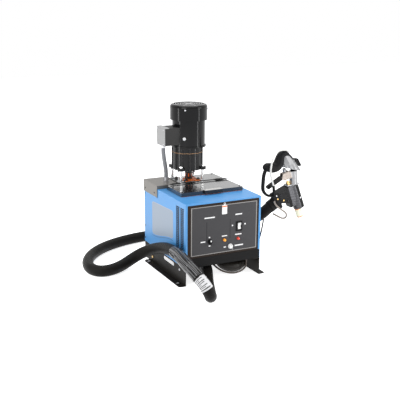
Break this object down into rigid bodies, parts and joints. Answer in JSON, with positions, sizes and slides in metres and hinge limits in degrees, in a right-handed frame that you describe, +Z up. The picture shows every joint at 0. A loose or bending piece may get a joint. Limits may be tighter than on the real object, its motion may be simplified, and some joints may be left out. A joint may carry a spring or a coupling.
{
  "type": "hot melt applicator unit",
  "caption": "Sheet-steel cabinet on flanged legs with a heated pellet tank under a hinged lid, a geared motor on posts above, a long heated hose and a hand gun.",
  "frame": {"origin": "on the floor, at the centre of the four floor bolt holes", "axes": "+X to the right of the panel, +Y to the rear, +Z up"},
  "size_m": [1.1138, 1.0533, 0.801],
  "materials": {
    "cabinet_shell": "satin powder coat",
    "base_tray": "satin",
    "left_leg": "satin",
    "right_leg": "satin",
    "front_panel": "satin overlay film",
    "rear_panel": "satin powder coat",
    "rear_cover": "satin",
    "cabinet_screws": "plated",
    "hopper": "cast",
    "silicone_seals": "matte silicone",
    "deck_plate": "satin",
    "deck_clamps": "gloss",
    "hinge_pin": "blackened",
    "motor_posts": "turned",
    "gearbox_lower": "gloss",
    "gearbox_gasket": "fibre gasket",
    "gearbox_upper": "gloss",
    "bearings": "ground",
    "motor_frame": "gloss",
    "motor_cowl": "gloss",
    "stator": "varnished laminations",
    "junction_box": "satin",
    "junction_cover": "satin",
    "conduit": "ribbed plastic skin",
    "conduit_fittings": "plated",
    "switch_bezel": "matte",
    "pilot_lamps": "lens",
    "control_board": "glass fibre board",
    "pump_body": "machined",
    "outlet_manifold": "anodised",
    "hose": "braided cover",
    "hose_cuffs": "moulded",
    "hose_lead": "sheath",
    "signal_cable": "sheath",
    "cable_glands": "nylon",
    "lid": "satin",
    "lid_handle": "moulded",
    "power_rocker": "gloss",
    "selector_knob": "matte",
    "dial_knob": "gloss",
    "hang_tag": "card",
    "motor_rotor": "ground",
    "motor_fan": "moulded",
    "layshaft": "ground",
    "output_shaft": "ground",
    "pump_shaft": "ground",
    "coupling_hubs": "blackened",
    "coupling_spider": "polyurethane",
    "pump_driven_gear": "ground",
    "gun_body": "anodised",
    "gun_rear_block": "moulded",
    "gun_handle": "textured",
    "gun_valve": "turned",
    "air_fitting": "turned",
    "gun_cover": "woven sleeve",
    "gun_cable": "sheath",
    "gun_lead": "sheath",
    "nozzle": "machined",
    "trigger_lever": "anodised",
    "valve_needle": "ground"
  },
  "bodies": {
    "cabinet": {"cabinet_shell": "cabinet_shell", "base_tray": "base_tray", "left_leg": "left_leg", "right_leg": "right_leg", "front_panel": "front_panel", "rear_panel": "rear_panel", "rear_cover": "rear_cover", "cabinet_screws": "cabinet_screws", "hopper": "hopper", "silicone_seals": "silicone_seals", "deck_plate": "deck_plate", "deck_clamps": "deck_clamps", "hinge_pin": "hinge_pin", "motor_posts": "motor_posts", "gearbox_lower": "gearbox_lower", "gearbox_gasket": "gearbox_gasket", "gearbox_upper": "gearbox_upper", "bearings": "bearings", "motor_frame": "motor_frame", "motor_cowl": "motor_cowl", "stator": "stator", "junction_box": "junction_box", "junction_cover": "junction_cover", "conduit": "conduit", "conduit_fittings": "conduit_fittings", "switch_bezel": "switch_bezel", "pilot_lamps": "pilot_lamps", "control_board": "control_board", "pump_body": "pump_body", "outlet_manifold": "outlet_manifold", "hose": "hose", "hose_cuffs": "hose_cuffs", "hose_lead": "hose_lead", "signal_cable": "signal_cable", "cable_glands": "cable_glands"},
    "lid": {"lid": "lid", "lid_handle": "lid_handle"},
    "power_rocker": {"power_rocker": "power_rocker"},
    "selector_knob": {"selector_knob": "selector_knob"},
    "dial_knob": {"dial_knob": "dial_knob"},
    "hang_tag": {"hang_tag": "hang_tag"},
    "rotor": {"motor_rotor": "motor_rotor", "motor_fan": "motor_fan"},
    "layshaft": {"layshaft": "layshaft"},
    "output": {"output_shaft": "output_shaft", "pump_shaft": "pump_shaft", "coupling_hubs": "coupling_hubs", "coupling_spider": "coupling_spider"},
    "pump_idler": {"pump_driven_gear": "pump_driven_gear"},
    "gun": {"gun_body": "gun_body", "gun_rear_block": "gun_rear_block", "gun_handle": "gun_handle", "gun_valve": "gun_valve", "air_fitting": "air_fitting", "gun_cover": "gun_cover", "gun_cable": "gun_cable", "gun_lead": "gun_lead", "nozzle": "nozzle"},
    "trigger": {"trigger_lever": "trigger_lever"},
    "needle": {"valve_needle": "valve_needle"}
  },
  "joints": [
    {"name": "lid_hinge", "type": "hinge", "parent": "cabinet", "child": "lid", "pos_m": [0.006, 0.076, 0.422], "axis": [-1, 0, 0], "range_deg": [0, 75]},
    {"name": "power_rocker_tilt", "type": "hinge", "parent": "cabinet", "child": "power_rocker", "pos_m": [0.084, -0.217, 0.261], "axis": [-1, 0, 0], "range_deg": [0, 14]},
    {"name": "selector_turn", "type": "hinge", "parent": "cabinet", "child": "selector_knob", "pos_m": [-0.073, -0.223, 0.203], "axis": [0, -1, 0], "range_deg": [-60, 60]},
    {"name": "dial_turn", "type": "hinge", "parent": "cabinet", "child": "dial_knob", "pos_m": [0.036, -0.223, 0.167], "axis": [0, -1, 0], "range_deg": [-140, 140]},
    {"name": "tag_swing", "type": "hinge", "parent": "cabinet", "child": "hang_tag", "pos_m": [0.003, -0.2244, 0.381], "axis": [0, -1, 0], "range_deg": [-40, 40]},
    {"name": "motor_spin", "type": "hinge", "parent": "cabinet", "child": "rotor", "pos_m": [0, 0.162, 0.65], "axis": [0, 0, 1], "continuous": true},
    {"name": "layshaft_spin", "type": "hinge", "parent": "cabinet", "child": "layshaft", "pos_m": [0, 0.127, 0.53], "axis": [0, 0, 1], "continuous": true},
    {"name": "output_spin", "type": "hinge", "parent": "cabinet", "child": "output", "pos_m": [0, 0.162, 0.44], "axis": [0, 0, 1], "continuous": true},
    {"name": "pump_idler_spin", "type": "hinge", "parent": "cabinet", "child": "pump_idler", "pos_m": [0.036, 0.162, 0.245], "axis": [0, 0, 1], "continuous": true},
    {"name": "gun_swivel", "type": "hinge", "parent": "cabinet", "child": "gun", "pos_m": [0.37433, -0.075, 0.30862], "axis": [0.8453, 0, 0.5344], "range_deg": [-35, 35]},
    {"name": "trigger_pull", "type": "hinge", "parent": "gun", "child": "trigger", "pos_m": [0.42409, -0.075, 0.44217], "axis": [0, 1, 0], "range_deg": [0, 12], "stiffness_Nm_per_rad": 1.5, "springref_deg": -8.59},
    {"name": "needle_lift", "type": "slide", "parent": "gun", "child": "needle", "axis": [-0.3469, 0, 0.9379], "range_m": [0, 0.0031]}
  ],
  "couplings": [
    {"joint": "layshaft_spin", "follows": "motor_spin", "ratio": -0.25},
    {"joint": "output_spin", "follows": "motor_spin", "ratio": 0.0625},
    {"joint": "pump_idler_spin", "follows": "motor_spin", "ratio": -0.0625},
    {"joint": "needle_lift", "follows": "trigger_pull", "m_per_rad": 0.014324}
  ]
}
